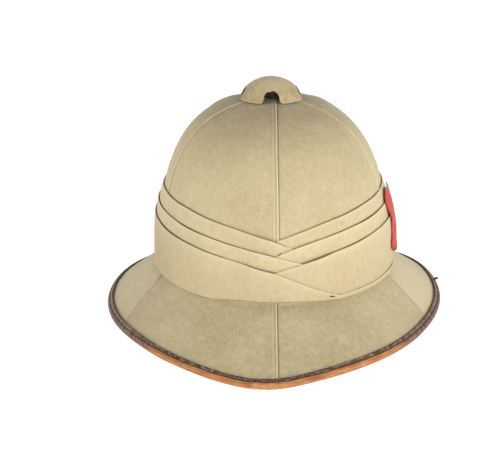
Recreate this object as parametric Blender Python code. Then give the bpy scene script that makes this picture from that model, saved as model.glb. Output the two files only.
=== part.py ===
"""A pith sun helmet in metres, +Z up, its front towards -Y.

A hollow pith shell carries six drill panels, a wound cloth band of laid folds, a domed
ventilator cap on a collar, a rolled leather binding and a felt flash on the wearer's left.
Azimuth runs from 0 at the front towards +X, so 90 degrees is the wearer's left side.
Left and right in the names of panels and folds are as seen from the front.
"""

import math

import bmesh
import bpy
import numpy as np

# Crown, measured over the cloth where it meets the brim
CROWN_HALF_WIDTH = 0.0908
CROWN_HALF_LENGTH = 0.1078
CROWN_RISE = 0.1304
CROWN_FULLNESS = 2.68
CROWN_LEAN = 0.0011
JOINT_HEIGHT = 0.0495
JOINT_DIP = 0.003

# Brim, measured to the middle of its rolled edge
BRIM_HALF_WIDTH = 0.1295
BRIM_FRONT = 0.165
BRIM_BACK = 0.172
EDGE_LIFT = 0.0168
# Columns: azimuth in degrees, share of EDGE_LIFT; the brim is a little uneven, as worn ones are
EDGE_ROWS = (
    (-180.0, 0.0),
    (-165.0, 0.0),
    (-150.0, 0.20),
    (-125.0, 0.57),
    (-105.0, 0.71),
    (-82.0, 0.714),
    (-60.0, 0.714),
    (-35.0, 0.46),
    (-20.0, 0.18),
    (-12.0, 0.045),
    (-8.0, 0.0),
    (-3.0, 0.0),
    (2.0, 0.054),
    (8.0, 0.18),
    (16.0, 0.345),
    (28.0, 0.53),
    (38.0, 0.637),
    (52.0, 0.78),
    (62.0, 0.905),
    (82.0, 1.0),
    (105.0, 1.0),
    (125.0, 0.76),
    (150.0, 0.24),
    (165.0, 0.0),
    (180.0, 0.0),
)

# Walls and the gap between pieces that touch
PITH_AT_CROWN = 0.008
PITH_AT_EDGE = 0.003
CLOTH = 0.001
FIT_GAP = 0.0003

# Felled seams between the six cover panels
SEAM_WIDTH = 0.0046
SEAM_RISE = 0.0007
SEAM_STEP = 0.0003
# Columns: azimuth in degrees at the vent, at the joint and at the edge
SEAM_ROWS = (
    (0.0, 0.0, 0.0),
    (64.0, 70.0, 64.0),
    (122.0, 120.0, 122.0),
    (180.0, 180.0, 180.0),
    (238.0, 240.0, 238.0),
    (296.0, 290.0, 296.0),
    (360.0, 360.0, 360.0),
)
PANEL_NAMES = (
    "cover_panel_front_right",
    "cover_panel_right",
    "cover_panel_back_right",
    "cover_panel_back_left",
    "cover_panel_left",
    "cover_panel_front_left",
)
PANEL_STEPS = 7
CROWN_STEPS = 8
CROWN_CROWDING = 1.25
BRIM_STEPS = 2

# Rolled leather binding
LEATHER = 0.0013
BINDING_FLANGE = 0.0032
BINDING_TUCK = 0.0012
BINDING_FLAT_ANGLE = 12.0
BINDING_ARC = (25.0, -5.0, -30.0, -55.0)
SEAM_FADE = 0.002
SEAM_CLEARANCE = 0.0005

# Wound band: the space over the covers, then one pitch for each level
BAND_CLEARANCE = 0.001
BAND_HEIGHT = 0.0655
FOLD_CLOTH = 0.001
FOLD_TUCK = 0.007
FOLD_STEP = 6.0
FOLD_ROWS = 3
BAND_BOTTOM = -0.0008
BAND_FRONT_RISE = 0.0048
BAND_FRONT_SPREAD = 30.0
TAIL_HEIGHT = 0.003
# Each fold: its top edge at the side, how far it drops to the front crossing, both as shares of
# BAND_HEIGHT, the spread of that drop in degrees, its fall past the front as a share of
# BAND_HEIGHT a degree, and its levels at the side and at the crossing
FOLD_TABLE = {
    "left_top": (0.962, 0.244, 24.0, 0.0107, 0, 1),
    "left_middle": (0.786, 0.231, 30.0, 0.0069, 1, 3),
    "left_bottom": (0.634, 0.247, 32.0, 0.0119, 2, 5),
    "right_top": (1.0, 0.275, 26.0, 0.0107, 0, 0),
    "right_middle": (0.817, 0.252, 23.0, 0.0107, 1, 2),
    "right_bottom": (0.634, 0.247, 24.0, 0.0107, 2, 4),
}
# How far each left fold runs past the front, and where a right fold starts short of it
LEFT_ENDS = {"left_top": 12.0, "left_middle": 18.0, "left_bottom": 78.0}
RIGHT_START = -6.0
LEVEL_TURN = 12.0
RIGHT_TURNS = {"right_top": 12.0, "right_middle": 12.0, "right_bottom": 18.0}
TAIL_LEVEL = 3

# Ventilator in the crown's top
VENT_RADIUS = 0.0065
COLLAR_WALL = 0.0008
COLLAR_CLEARANCE = 0.0008
COLLAR_DROP = 0.001
COLLAR_SIDES = 16
CAP_RADIUS = 0.0236
CAP_RISE = 0.0164
CAP_FULLNESS = 1.84
CAP_SHIFT = 0.001
CAP_WALL = 0.0012
CAP_LIP = 0.0015
CAP_LIP_HEIGHT = 0.0015
CAP_NOTCHES = 4
CAP_NOTCH_WIDTH = 0.0128
CAP_NOTCH_HEIGHT = 0.0088
CAP_NOTCH_SHARES = (-1.0, -0.94, -0.7, 0.0, 0.7, 0.94, 1.0)
CAP_LOBE_STEPS = 6
CAP_ROWS = 6

# Felt flash on the wearer's left; its lower end stands off the band by the flare
FLASH_AZIMUTH = 82.5
FLASH_WIDTH = 0.036
FLASH_BOTTOM = 0.0115
FLASH_TOP = 0.0590
FLASH_FELT = 0.0013
FLASH_FLARE = 0.0014
FLASH_COLUMNS = 6
FLASH_ROWS = 5

# Sizes that follow from the ones above
AXIS_Y = (BRIM_FRONT - BRIM_BACK) / 2
CROWN_TOP = JOINT_HEIGHT + CROWN_RISE
EDGE_STACK = PITH_AT_EDGE + FIT_GAP + CLOTH
ROLL_RADIUS = EDGE_STACK / 2 + FIT_GAP + LEATHER
ROLL_HEIGHT = ROLL_RADIUS * math.cos(math.radians(BINDING_FLAT_ANGLE))
FOLD_PITCH = FOLD_CLOTH + FIT_GAP
COVER_DEPTH = CLOTH + FIT_GAP
JOINT_ROW = CROWN_STEPS
FADE_ROW = JOINT_ROW + BRIM_STEPS + 1
LAST_ROW = FADE_ROW + 2


def smooth_table(rows, value):
    """Read a table of two columns with a smooth curve that never overshoots its rows."""
    x, y = np.array(rows).T
    step = np.diff(x)
    rise = np.diff(y) / step
    slope = np.zeros(len(x))
    same_way = rise[:-1] * rise[1:] > 0
    inner = np.where(same_way, 2 * rise[:-1] * rise[1:] / np.where(same_way, rise[:-1] + rise[1:], 1), 0)
    slope[1:-1] = inner
    k = np.clip(np.searchsorted(x, value, side="right") - 1, 0, len(step) - 1)
    s = (value - x[k]) / step[k]
    start = y[k] * (1 + 2 * s) * (1 - s) ** 2 + slope[k] * step[k] * s * (1 - s) ** 2
    return start + y[k + 1] * s * s * (3 - 2 * s) + slope[k + 1] * step[k] * s * s * (s - 1)


def turn_between(value, start, end):
    """Ease from 0 at start to 1 at end."""
    s = np.clip((value - start) / (end - start), 0.0, 1.0)
    return s * s * (3 - 2 * s)


def joint_height(azimuth):
    return JOINT_HEIGHT - JOINT_DIP * np.cos(azimuth) ** 2


def crown_place(azimuth, angle):
    """A point of the crown's outer cloth, from angle 0 at the joint to 90 degrees at the top."""
    reach = np.cos(angle) ** (2 / CROWN_FULLNESS)
    climb = np.sin(angle) ** (2 / CROWN_FULLNESS)
    base = joint_height(azimuth)
    return np.stack(
        [
            CROWN_HALF_WIDTH * reach * np.sin(azimuth) - CROWN_LEAN * climb,
            AXIS_Y - CROWN_HALF_LENGTH * reach * np.cos(azimuth),
            base + (CROWN_TOP - base) * climb,
        ],
        axis=-1,
    )


def crown_normal(azimuth, angle):
    nudge = 0.001
    below = crown_place(azimuth, np.maximum(angle - nudge, 0.0))
    above = crown_place(azimuth, angle + nudge)
    across = crown_place(azimuth + nudge, angle) - crown_place(azimuth - nudge, angle)
    normal = np.cross(below - above, across)
    return normal / np.linalg.norm(normal, axis=-1, keepdims=True)


def edge_centre(azimuth):
    """The middle of the brim's rolled edge."""
    turned = np.degrees(np.arctan2(np.sin(azimuth), np.cos(azimuth)))
    reach = np.where(np.cos(azimuth) > 0, BRIM_FRONT, BRIM_BACK)
    return np.stack(
        [
            BRIM_HALF_WIDTH * np.sin(azimuth),
            AXIS_Y - reach * np.cos(azimuth),
            ROLL_HEIGHT + EDGE_LIFT * smooth_table(EDGE_ROWS, turned),
        ],
        axis=-1,
    )


def brim_frame(azimuth):
    """The joint point, the way down the brim's cloth, its normal, its length and the slope's angle."""
    joint = crown_place(azimuth, np.zeros_like(azimuth))
    across = edge_centre(azimuth) - joint
    plan = np.hypot(across[..., 0], across[..., 1])
    away = np.linalg.norm(across, axis=-1)
    slope = np.arctan2(-across[..., 2], plan) - np.arcsin(EDGE_STACK / 2 / away)
    outward = across[..., :2] / plan[..., None]
    down = np.concatenate([outward * np.cos(slope)[..., None], -np.sin(slope)[..., None]], axis=-1)
    normal = np.concatenate([outward * np.sin(slope)[..., None], np.cos(slope)[..., None]], axis=-1)
    length = np.sqrt(away**2 - (EDGE_STACK / 2) ** 2)
    return joint, down, normal, length, slope


def row_place(azimuth, row, depth):
    """A point of the covered shell on one of its rows, at a depth under the outer cloth."""
    depth = np.asarray(depth)[..., None]
    if row < JOINT_ROW:
        vent_reach = VENT_RADIUS / np.hypot(
            CROWN_HALF_WIDTH * np.sin(azimuth), CROWN_HALF_LENGTH * np.cos(azimuth)
        )
        vent_angle = np.arccos(vent_reach ** (CROWN_FULLNESS / 2))
        angle = vent_angle * (1 - row / JOINT_ROW) ** CROWN_CROWDING
        return crown_place(azimuth, angle) - crown_normal(azimuth, angle) * depth
    joint, down, normal, length, _ = brim_frame(azimuth)
    if row == JOINT_ROW:
        wall = crown_normal(azimuth, np.zeros_like(azimuth))
        mitre = (wall + normal) / (1 + (wall * normal).sum(axis=-1, keepdims=True))
        return joint - mitre * depth
    clear = length - BINDING_FLANGE - SEAM_CLEARANCE
    if row == LAST_ROW:
        run = length + BINDING_TUCK
    elif row == FADE_ROW + 1:
        run = clear
    else:
        run = (clear - SEAM_FADE) * (row - JOINT_ROW) / (BRIM_STEPS + 1)
    return joint + down * run[..., None] - normal * depth


def seam_azimuth(seam, row):
    """Where a seam crosses a row, in radians."""
    vent, joint, edge = SEAM_ROWS[seam]
    rows = (0, JOINT_ROW, LAST_ROW)
    return math.radians(np.interp(row, rows, (vent, joint, edge)))


def sector_columns(sector, row):
    """The azimuths that the shell and the panel over it share on a row."""
    start = seam_azimuth(sector, row)
    end = seam_azimuth(sector + 1, row)
    welt = end - across_azimuth(end, row, SEAM_WIDTH)
    return np.append(np.linspace(start, welt, PANEL_STEPS + 1), end)


def across_azimuth(azimuth, row, width):
    """The change of azimuth that a width across a row makes."""
    nudge = 0.001
    pair = row_place(np.array([azimuth - nudge, azimuth + nudge]), row, np.zeros(2))
    return width * 2 * nudge / np.linalg.norm(pair[1] - pair[0])


def pith_wall(row):
    """The pith is full in the crown and tapers along the brim to the binding."""
    share = np.clip((row - JOINT_ROW) / (FADE_ROW - JOINT_ROW), 0.0, 1.0)
    return PITH_AT_CROWN + (PITH_AT_EDGE - PITH_AT_CROWN) * share


def make_object(name, points, faces, material):
    mesh = bpy.data.meshes.new(name)
    mesh.from_pydata([tuple(p) for p in points], [], faces)
    shape = bmesh.new()
    shape.from_mesh(mesh)
    bmesh.ops.recalc_face_normals(shape, faces=shape.faces)
    shape.to_mesh(mesh)
    shape.free()
    mesh.shade_smooth()
    mesh.set_sharp_from_angle(angle=math.radians(38))
    mesh.materials.append(material)
    thing = bpy.data.objects.new(name, mesh)
    bpy.context.scene.collection.objects.link(thing)
    return thing


def closed_wall(name, outer, inner, material, ring=False, domed=False):
    """Join two grids of points into one closed wall; a ring closes on itself, a dome at its last row."""
    rows, columns = outer.shape[:2]
    size = rows * columns
    points = np.concatenate([outer.reshape(-1, 3), inner.reshape(-1, 3)])
    faces = []

    def split(a, b, c, d):
        faces.extend([(a, b, c), (a, c, d)])

    spans = columns if ring else columns - 1
    for j in range(spans):
        k = (j + 1) % columns
        for i in range(rows - 1):
            a, b, c, d = i * columns + j, i * columns + k, (i + 1) * columns + k, (i + 1) * columns + j
            split(a, b, c, d)
            split(size + a, size + d, size + c, size + b)
        split(j, size + j, size + k, k)
        last = (rows - 1) * columns
        if domed:
            faces.append((last + j, last + k, 2 * size))
            faces.append((size + last + k, size + last + j, 2 * size + 1))
        else:
            split(last + j, last + k, size + last + k, size + last + j)
    if domed:
        poles = [outer[-1].mean(axis=0), inner[-1].mean(axis=0)]
        points = np.concatenate([points, poles])
    if not ring:
        for i in range(rows - 1):
            for j in (0, columns - 1):
                a, d = i * columns + j, (i + 1) * columns + j
                split(a, d, size + d, size + a)
    return make_object(name, points, faces, material)


def finish(name, color, roughness, metallic=0.0):
    material = bpy.data.materials.new(name)
    material.use_nodes = True
    shader = material.node_tree.nodes["Principled BSDF"]
    shader.inputs["Base Color"].default_value = (*color, 1.0)
    shader.inputs["Roughness"].default_value = roughness
    shader.inputs["Metallic"].default_value = metallic
    material.diffuse_color = (*color, 1.0)
    return material


def make_shell(material):
    """The moulded pith body, open below and at the vent."""
    outer = []
    inner = []
    for row in range(LAST_ROW + 1):
        azimuths = np.concatenate([sector_columns(k, row)[:-1] for k in range(len(PANEL_NAMES))])
        outer.append(row_place(azimuths, row, np.full(len(azimuths), COVER_DEPTH)))
        inner.append(row_place(azimuths, row, np.full(len(azimuths), COVER_DEPTH + pith_wall(row))))
    return closed_wall("shell", np.array(outer), np.array(inner), material, ring=True)


def make_panel(sector, material):
    """One drill panel, raised along the seam where it laps its neighbour."""
    outer = []
    inner = []
    for row in range(LAST_ROW + 1):
        azimuths = sector_columns(sector, row)
        half_gap = across_azimuth(azimuths[0], row, FIT_GAP / 2)
        foot = across_azimuth(azimuths[-1], row, SEAM_STEP)
        azimuths = np.concatenate(
            [
                [azimuths[0] + half_gap],
                azimuths[1:PANEL_STEPS],
                [azimuths[-2] - foot, azimuths[-2], azimuths[-1] - half_gap],
            ]
        )
        raised = np.zeros(len(azimuths))
        if row <= FADE_ROW:
            raised[-2:] = SEAM_RISE
        outer.append(row_place(azimuths, row, -raised))
        inner.append(row_place(azimuths, row, np.full(len(azimuths), CLOTH)))
    return closed_wall(PANEL_NAMES[sector], np.array(outer), np.array(inner), material)


def fold_top(name, degrees):
    """The height of a fold's upper edge over the joint; own_side is how far round its own side it is."""
    side, drop, spread, fall, _, _ = FOLD_TABLE[name]
    own_side = -degrees if name.startswith("left") else degrees
    beside = side - drop * np.exp(-np.maximum(own_side, 0.0) / spread)
    beyond = side - drop + fall * own_side
    height = BAND_HEIGHT * np.where(own_side > 0, beside, beyond)
    if name == "left_bottom":
        height = np.maximum(height, band_bottom(degrees) + TAIL_HEIGHT)
    return height


def band_bottom(degrees):
    return BAND_BOTTOM + BAND_FRONT_RISE * np.maximum(1 - (degrees / BAND_FRONT_SPREAD) ** 2, 0.0)


def fold_level(name, degrees):
    """How many folds lie under this one, eased from the side to the front crossing."""
    side, crossing = FOLD_TABLE[name][4:]
    if name.startswith("right"):
        turn = RIGHT_TURNS[name]
        return crossing + (side - crossing) * turn_between(degrees, turn, turn + LEVEL_TURN)
    level = side + (crossing - side) * turn_between(degrees, RIGHT_START - LEVEL_TURN, RIGHT_START)
    if name == "left_bottom":
        turn = RIGHT_TURNS["right_bottom"]
        level = level + (TAIL_LEVEL - crossing) * turn_between(degrees, turn, turn + LEVEL_TURN)
    return level


def over_crown(degrees, height, lift):
    """A point at a height over the joint, lifted off the crown's cloth."""
    azimuth = np.radians(degrees)
    base = joint_height(azimuth)
    share = np.clip(height / (CROWN_TOP - base), 0.0, 1.0)
    angle = np.arcsin(share ** (CROWN_FULLNESS / 2))
    place = crown_place(azimuth, angle)
    below_joint = np.minimum(height, 0.0)
    place[..., 2] += below_joint
    return place + crown_normal(azimuth, angle) * np.asarray(lift)[..., None]


def fold_columns(name):
    """The azimuths of a fold's columns, which all folds share."""
    radius = CROWN_HALF_WIDTH
    back = 180.0 - math.degrees(FIT_GAP / 2 / radius)
    if name.startswith("right"):
        return np.append(np.arange(RIGHT_START, 180.0, FOLD_STEP), back)
    return np.append(-back, np.arange(FOLD_STEP - 180.0, LEFT_ENDS[name] + FOLD_STEP / 2, FOLD_STEP))


def make_fold(name, below, material):
    """One laid fold of the band; its lower edge is tucked under the fold below it."""
    degrees = fold_columns(name)
    top = fold_top(name, degrees)
    bottom = band_bottom(degrees) if below is None else fold_top(below, degrees) - FOLD_TUCK
    lift = BAND_CLEARANCE + FOLD_PITCH * fold_level(name, degrees)
    outer = []
    inner = []
    for row in range(FOLD_ROWS + 1):
        height = top + (bottom - top) * row / FOLD_ROWS
        outer.append(over_crown(degrees, height, lift + FOLD_CLOTH))
        inner.append(over_crown(degrees, height, lift))
    return closed_wall("puggaree_fold_" + name, np.array(outer), np.array(inner), material)


def make_binding(material):
    """The leather strip rolled over the brim's edge, with a flat foot at front and back."""
    azimuths = np.concatenate([sector_columns(k, LAST_ROW)[:-1] for k in range(len(PANEL_NAMES))])
    centre = edge_centre(azimuths)
    _, down, normal, _, slope = brim_frame(azimuths)
    outward = down[:, :2] / np.cos(slope)[:, None]
    inside = ROLL_RADIUS - LEATHER
    bed = BINDING_TUCK + FIT_GAP
    loop = [centre - down * BINDING_FLANGE + normal * ROLL_RADIUS, centre + normal * ROLL_RADIUS]
    flat = BINDING_FLAT_ANGLE - 90.0
    for angle in (*BINDING_ARC, flat, -180.0 - flat):
        turn = math.radians(angle)
        spoke = np.concatenate([outward * math.cos(turn), np.full((len(azimuths), 1), math.sin(turn))], axis=1)
        loop.append(centre + spoke * ROLL_RADIUS)
    loop.append(centre - normal * ROLL_RADIUS)
    loop.append(centre - down * BINDING_FLANGE - normal * ROLL_RADIUS)
    loop.append(centre - down * BINDING_FLANGE - normal * inside)
    loop.append(centre + down * bed - normal * inside)
    loop.append(centre + down * bed + normal * inside)
    loop.append(centre - down * BINDING_FLANGE + normal * inside)
    sides = len(loop)
    columns = len(azimuths)
    points = np.array(loop).reshape(-1, 3)
    faces = []
    for i in range(sides):
        for j in range(columns):
            k = (j + 1) % columns
            n = (i + 1) % sides
            a, b, c, d = i * columns + j, i * columns + k, n * columns + k, n * columns + j
            faces.extend([(a, b, c), (a, c, d)])
    return make_object("brim_binding", points, faces, material)


def dome_grid(radius, rise, lip):
    """One face of the cap; its lower edge rises into an arch at each notch."""
    half_notch = math.asin(CAP_NOTCH_WIDTH / 2 / CAP_RADIUS)
    quarter = 2 * math.pi / CAP_NOTCHES
    lobe = quarter - 2 * half_notch
    turns = []
    rims = []
    for notch in range(CAP_NOTCHES):
        for share in CAP_NOTCH_SHARES:
            turns.append(notch * quarter + share * half_notch)
            rims.append(CAP_NOTCH_HEIGHT * (1 - share**4) ** 0.25)
        for step in range(1, CAP_LOBE_STEPS):
            turns.append(notch * quarter + half_notch + lobe * step / CAP_LOBE_STEPS)
            rims.append(0.0)
    turns = np.array(turns)
    start = np.arcsin((np.array(rims) / rise) ** (CAP_FULLNESS / 2))
    grid = []
    for row in range(CAP_ROWS):
        angle = start + (math.pi / 2 - start) * row / CAP_ROWS
        height = rise * np.sin(angle) ** (2 / CAP_FULLNESS)
        reach = radius * np.cos(angle) ** (2 / CAP_FULLNESS) + lip * np.exp(-height / CAP_LIP_HEIGHT)
        x = reach * np.sin(turns) - CROWN_LEAN - CAP_SHIFT
        grid.append(np.stack([x, AXIS_Y - reach * np.cos(turns), CROWN_TOP + height], axis=-1))
    return np.array(grid)


def make_cap(material):
    """The domed ventilator cap, arched open on four sides."""
    outer = dome_grid(CAP_RADIUS, CAP_RISE, CAP_LIP)
    inner = dome_grid(CAP_RADIUS - CAP_WALL, CAP_RISE - CAP_WALL, CAP_LIP)
    return closed_wall("ventilator_cap", outer, inner, material, ring=True, domed=True)


def make_collar(material):
    """The plain tube that carries the cap in the shell's hole."""
    radius = VENT_RADIUS - COLLAR_CLEARANCE
    inside_rise = CAP_RISE - CAP_WALL
    far_side = (radius + CAP_SHIFT) / (CAP_RADIUS - CAP_WALL)
    seat = inside_rise * (1 - far_side**CAP_FULLNESS) ** (1 / CAP_FULLNESS)
    top = CROWN_TOP + seat - FIT_GAP
    bottom = CROWN_TOP - COVER_DEPTH - PITH_AT_CROWN - COLLAR_DROP
    turns = np.arange(COLLAR_SIDES) * 2 * math.pi / COLLAR_SIDES
    faces = []
    for reach in (radius, radius - COLLAR_WALL):
        x = reach * np.sin(turns) - CROWN_LEAN
        y = AXIS_Y - reach * np.cos(turns)
        faces.append(np.array([np.stack([x, y, np.full(COLLAR_SIDES, z)], axis=-1) for z in (top, bottom)]))
    return closed_wall("ventilator_collar", faces[0], faces[1], material, ring=True)


def make_flash(material):
    """The felt patch, lying on the stepped folds of the band."""
    middle = math.radians(FLASH_AZIMUTH)
    speed = math.hypot(CROWN_HALF_WIDTH * math.cos(middle), CROWN_HALF_LENGTH * math.sin(middle))
    half = math.degrees(FLASH_WIDTH / 2 / speed)
    degrees = np.linspace(FLASH_AZIMUTH - half, FLASH_AZIMUTH + half, FLASH_COLUMNS + 1)
    steps = ("right_top", "right_middle", "right_bottom")
    edges = [fold_top(name, degrees) for name in steps]
    lifts = [BAND_CLEARANCE + FOLD_PITCH * (FOLD_TABLE[name][4] + 1) for name in steps]
    fall = (lifts[2] - lifts[0]) / (edges[0] - edges[2])
    outer = []
    inner = []
    for row in range(FLASH_ROWS + 1):
        share = row / FLASH_ROWS
        height = np.full(len(degrees), FLASH_TOP + (FLASH_BOTTOM - FLASH_TOP) * share)
        lift = lifts[2] - fall * np.maximum(height - edges[2], 0.0) + FIT_GAP / 2 + FLASH_FLARE * share**2
        inner.append(over_crown(degrees, height, lift))
        outer.append(over_crown(degrees, height, lift + FLASH_FELT))
    return closed_wall("flash", np.array(outer), np.array(inner), material)


for old in list(bpy.data.objects):
    bpy.data.objects.remove(old)

pith = finish("pith", (0.62, 0.53, 0.38), 0.9)
drill = finish("drill", (0.47, 0.39, 0.25), 0.85)
band_cloth = finish("band_cloth", (0.60, 0.50, 0.32), 0.85)
zinc = finish("zinc", (0.35, 0.35, 0.33), 0.5, 0.8)
cap_cloth = finish("cap_cloth", (0.42, 0.33, 0.20), 0.85)
brown_leather = finish("brown_leather", (0.28, 0.13, 0.06), 0.6)
red_felt = finish("red_felt", (0.55, 0.12, 0.08), 0.95)

make_shell(pith)
for sector in range(len(PANEL_NAMES)):
    make_panel(sector, drill)
for side in ("left", "right"):
    make_fold(side + "_top", side + "_middle", band_cloth)
    make_fold(side + "_middle", side + "_bottom", band_cloth)
    make_fold(side + "_bottom", None, band_cloth)
make_collar(zinc)
make_cap(cap_cloth)
make_binding(brown_leather)
make_flash(red_felt)
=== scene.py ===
import math

import bpy
import numpy as np
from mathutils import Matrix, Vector


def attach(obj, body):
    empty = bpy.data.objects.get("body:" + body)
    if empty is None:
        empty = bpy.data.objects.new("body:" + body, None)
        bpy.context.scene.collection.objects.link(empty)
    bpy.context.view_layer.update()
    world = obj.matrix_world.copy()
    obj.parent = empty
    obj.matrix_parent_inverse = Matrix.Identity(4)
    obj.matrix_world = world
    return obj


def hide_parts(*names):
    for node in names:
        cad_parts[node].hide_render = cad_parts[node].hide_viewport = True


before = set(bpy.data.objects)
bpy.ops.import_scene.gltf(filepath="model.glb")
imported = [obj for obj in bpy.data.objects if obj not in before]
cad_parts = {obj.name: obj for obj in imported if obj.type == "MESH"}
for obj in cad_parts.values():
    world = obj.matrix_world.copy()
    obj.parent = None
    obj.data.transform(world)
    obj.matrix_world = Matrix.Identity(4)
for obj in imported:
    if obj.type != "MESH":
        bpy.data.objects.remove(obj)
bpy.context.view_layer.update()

# Studio: a white sweep lit evenly, a broad soft light in front and a little to the right, one high up
# at each side, and a dim ceiling, so that what faces up is darker than the walls. The camera looks down
# a little.
camera_distance = 1.5
camera_elevation = math.radians(16.0)
camera_turn = math.radians(-1.0)
aim = Vector((0.0, -0.0035, 0.1))
back = Vector((math.sin(camera_turn), -math.cos(camera_turn), math.tan(camera_elevation))).normalized()
camera = bpy.data.objects.new("camera", bpy.data.cameras.new("camera"))
camera.location = aim + back * camera_distance
camera.rotation_euler = (-back).to_track_quat("-Z", "Y").to_euler()
camera.data.sensor_width = 36.0
camera.data.lens = 135.9
camera.data.shift_x = -0.0476
camera.data.shift_y = -0.069
put_in_scene = bpy.context.scene.collection.objects.link
put_in_scene(camera)
bpy.context.scene.camera = camera
bpy.context.scene.view_settings.view_transform = "Standard"

world = bpy.data.worlds.new("sweep_light")
bpy.context.scene.world = world
world.use_nodes = True
sky = world.node_tree
direction = sky.nodes.new("ShaderNodeTexCoord")
split = sky.nodes.new("ShaderNodeSeparateXYZ")
fade = sky.nodes.new("ShaderNodeMapRange")
fade.inputs["From Min"].default_value = 0.14
fade.inputs["From Max"].default_value = 0.46
fade.inputs["To Min"].default_value = 1.6
fade.inputs["To Max"].default_value = 0.14
sky.links.new(direction.outputs["Generated"], split.inputs[0])
sky.links.new(split.outputs["Z"], fade.inputs["Value"])
sky.links.new(fade.outputs[0], sky.nodes["Background"].inputs["Strength"])
sky.nodes["Background"].inputs["Color"].default_value = (1.0, 1.0, 1.0, 1.0)

# Columns: place, width, height and power of each soft light
softboxes = {
    "front_softbox": ((0.7, -1.8, 0.6), 1.2, 0.8, 13.5),
    "left_softbox": ((-1.7, -0.3, 0.95), 1.2, 1.0, 7.5),
    "right_softbox": ((1.7, -0.3, 0.95), 1.2, 1.0, 9.0),
}
for softbox_name, (spot, wide, tall, power) in softboxes.items():
    lamp = bpy.data.lights.new(softbox_name, "AREA")
    lamp.shape = "RECTANGLE"
    lamp.size = wide
    lamp.size_y = tall
    lamp.energy = power
    softbox = bpy.data.objects.new(softbox_name, lamp)
    softbox.location = spot
    softbox.rotation_euler = (aim - softbox.location).to_track_quat("-Z", "Y").to_euler()
    put_in_scene(softbox)


def new_finish(name, roughness, **values):
    finish = bpy.data.materials.new(name)
    finish.use_nodes = True
    shader = finish.node_tree.nodes["Principled BSDF"]
    shader.inputs["Roughness"].default_value = roughness
    for socket, value in values.items():
        shader.inputs[socket.replace("_", " ")].default_value = value
    return finish, finish.node_tree, shader


sweep_half = 8.0
sweep = bpy.data.meshes.new("sweep")
sweep.from_pydata(
    [(x, y, -0.0004) for x, y in ((-sweep_half, -sweep_half), (sweep_half, -sweep_half),
                                  (sweep_half, sweep_half), (-sweep_half, sweep_half))],
    [], [(0, 1, 2, 3)],
)
paper, _, _ = new_finish("white_sweep", 1.0, Base_Color=(0.3, 0.3, 0.3, 1.0), Specular_IOR_Level=0.0,
                         Emission_Color=(1.0, 1.0, 1.0, 1.0), Emission_Strength=1.0)
sweep.materials.append(paper)
floor = bpy.data.objects.new("sweep", sweep)
put_in_scene(floor)

# Pith body: one hollow moulding of pressed pith, crown and brim together, thick in the crown and thinned
# along the brim to the bound edge. It is left bare inside, with a round hole at its top for the vent.
crown_half_width = 0.0908
crown_half_length = 0.1078
crown_top = 0.1799
crown_fullness = 2.68
crown_lean = 0.0011
joint_height = 0.0495
joint_dip = 0.003
joint_round = 0.005
# How the cover's points crowd towards the vent, and how many lie on the crown and on the brim
vent_crowding = 1.4
crown_steps = 260
brim_steps = 90
brim_half_width = 0.1295
brim_front = 0.165
brim_back = 0.172
axis_y = (brim_front - brim_back) / 2
edge_lift = 0.0168
# Columns: azimuth in degrees, share of the lift; the worn brim is a little uneven
edge_rows = ((-180.0, 0.0), (-165.0, 0.0), (-150.0, 0.20), (-125.0, 0.57), (-105.0, 0.71), (-82.0, 0.714),
             (-60.0, 0.714), (-35.0, 0.46), (-20.0, 0.18), (-12.0, 0.045), (-8.0, 0.0), (-3.0, 0.0),
             (2.0, 0.054), (8.0, 0.18), (16.0, 0.345), (28.0, 0.53), (38.0, 0.637), (52.0, 0.78),
             (62.0, 0.905), (82.0, 1.0), (105.0, 1.0), (125.0, 0.76), (150.0, 0.24), (165.0, 0.0),
             (180.0, 0.0))
vent_radius = 0.0065
cloth = 0.001
glue_gap = 0.0003
pith_at_crown = 0.008
pith_at_edge = 0.003
edge_stack = pith_at_edge + glue_gap + cloth
leather = 0.0013
roll_radius = edge_stack / 2 + glue_gap + leather
roll_flat_angle = math.radians(12.0)
roll_height = roll_radius * math.cos(roll_flat_angle)
flange = 0.0032
tuck = 0.0012


def ease(value, start, end):
    s = np.clip((value - start) / (end - start), 0.0, 1.0)
    return s * s * (3 - 2 * s)


def smooth_rows(rows, value):
    x, y = np.array(rows).T
    step = np.diff(x)
    rise = np.diff(y) / step
    slope = np.zeros(len(x))
    same_way = rise[:-1] * rise[1:] > 0
    slope[1:-1] = np.where(
        same_way, 2 * rise[:-1] * rise[1:] / np.where(same_way, rise[:-1] + rise[1:], 1), 0)
    k = np.clip(np.searchsorted(x, value, side="right") - 1, 0, len(step) - 1)
    s = (value - x[k]) / step[k]
    start = y[k] * (1 + 2 * s) * (1 - s) ** 2 + slope[k] * step[k] * s * (1 - s) ** 2
    return start + y[k + 1] * s * s * (3 - 2 * s) + slope[k + 1] * step[k] * s * s * (s - 1)


def joint_at(azimuth):
    return joint_height - joint_dip * np.cos(azimuth) ** 2


def crown_point(azimuth, angle):
    reach = np.cos(angle) ** (2 / crown_fullness)
    climb = np.sin(angle) ** (2 / crown_fullness)
    base = joint_at(azimuth)
    return np.stack([
        crown_half_width * reach * np.sin(azimuth) - crown_lean * climb,
        axis_y - crown_half_length * reach * np.cos(azimuth),
        base + (crown_top - base) * climb], axis=-1)


def edge_point(azimuth):
    turned = np.degrees(np.arctan2(np.sin(azimuth), np.cos(azimuth)))
    reach = np.where(np.cos(azimuth) > 0, brim_front, brim_back)
    return np.stack([
        brim_half_width * np.sin(azimuth),
        axis_y - reach * np.cos(azimuth),
        roll_height + edge_lift * smooth_rows(edge_rows, turned)], axis=-1)


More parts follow.
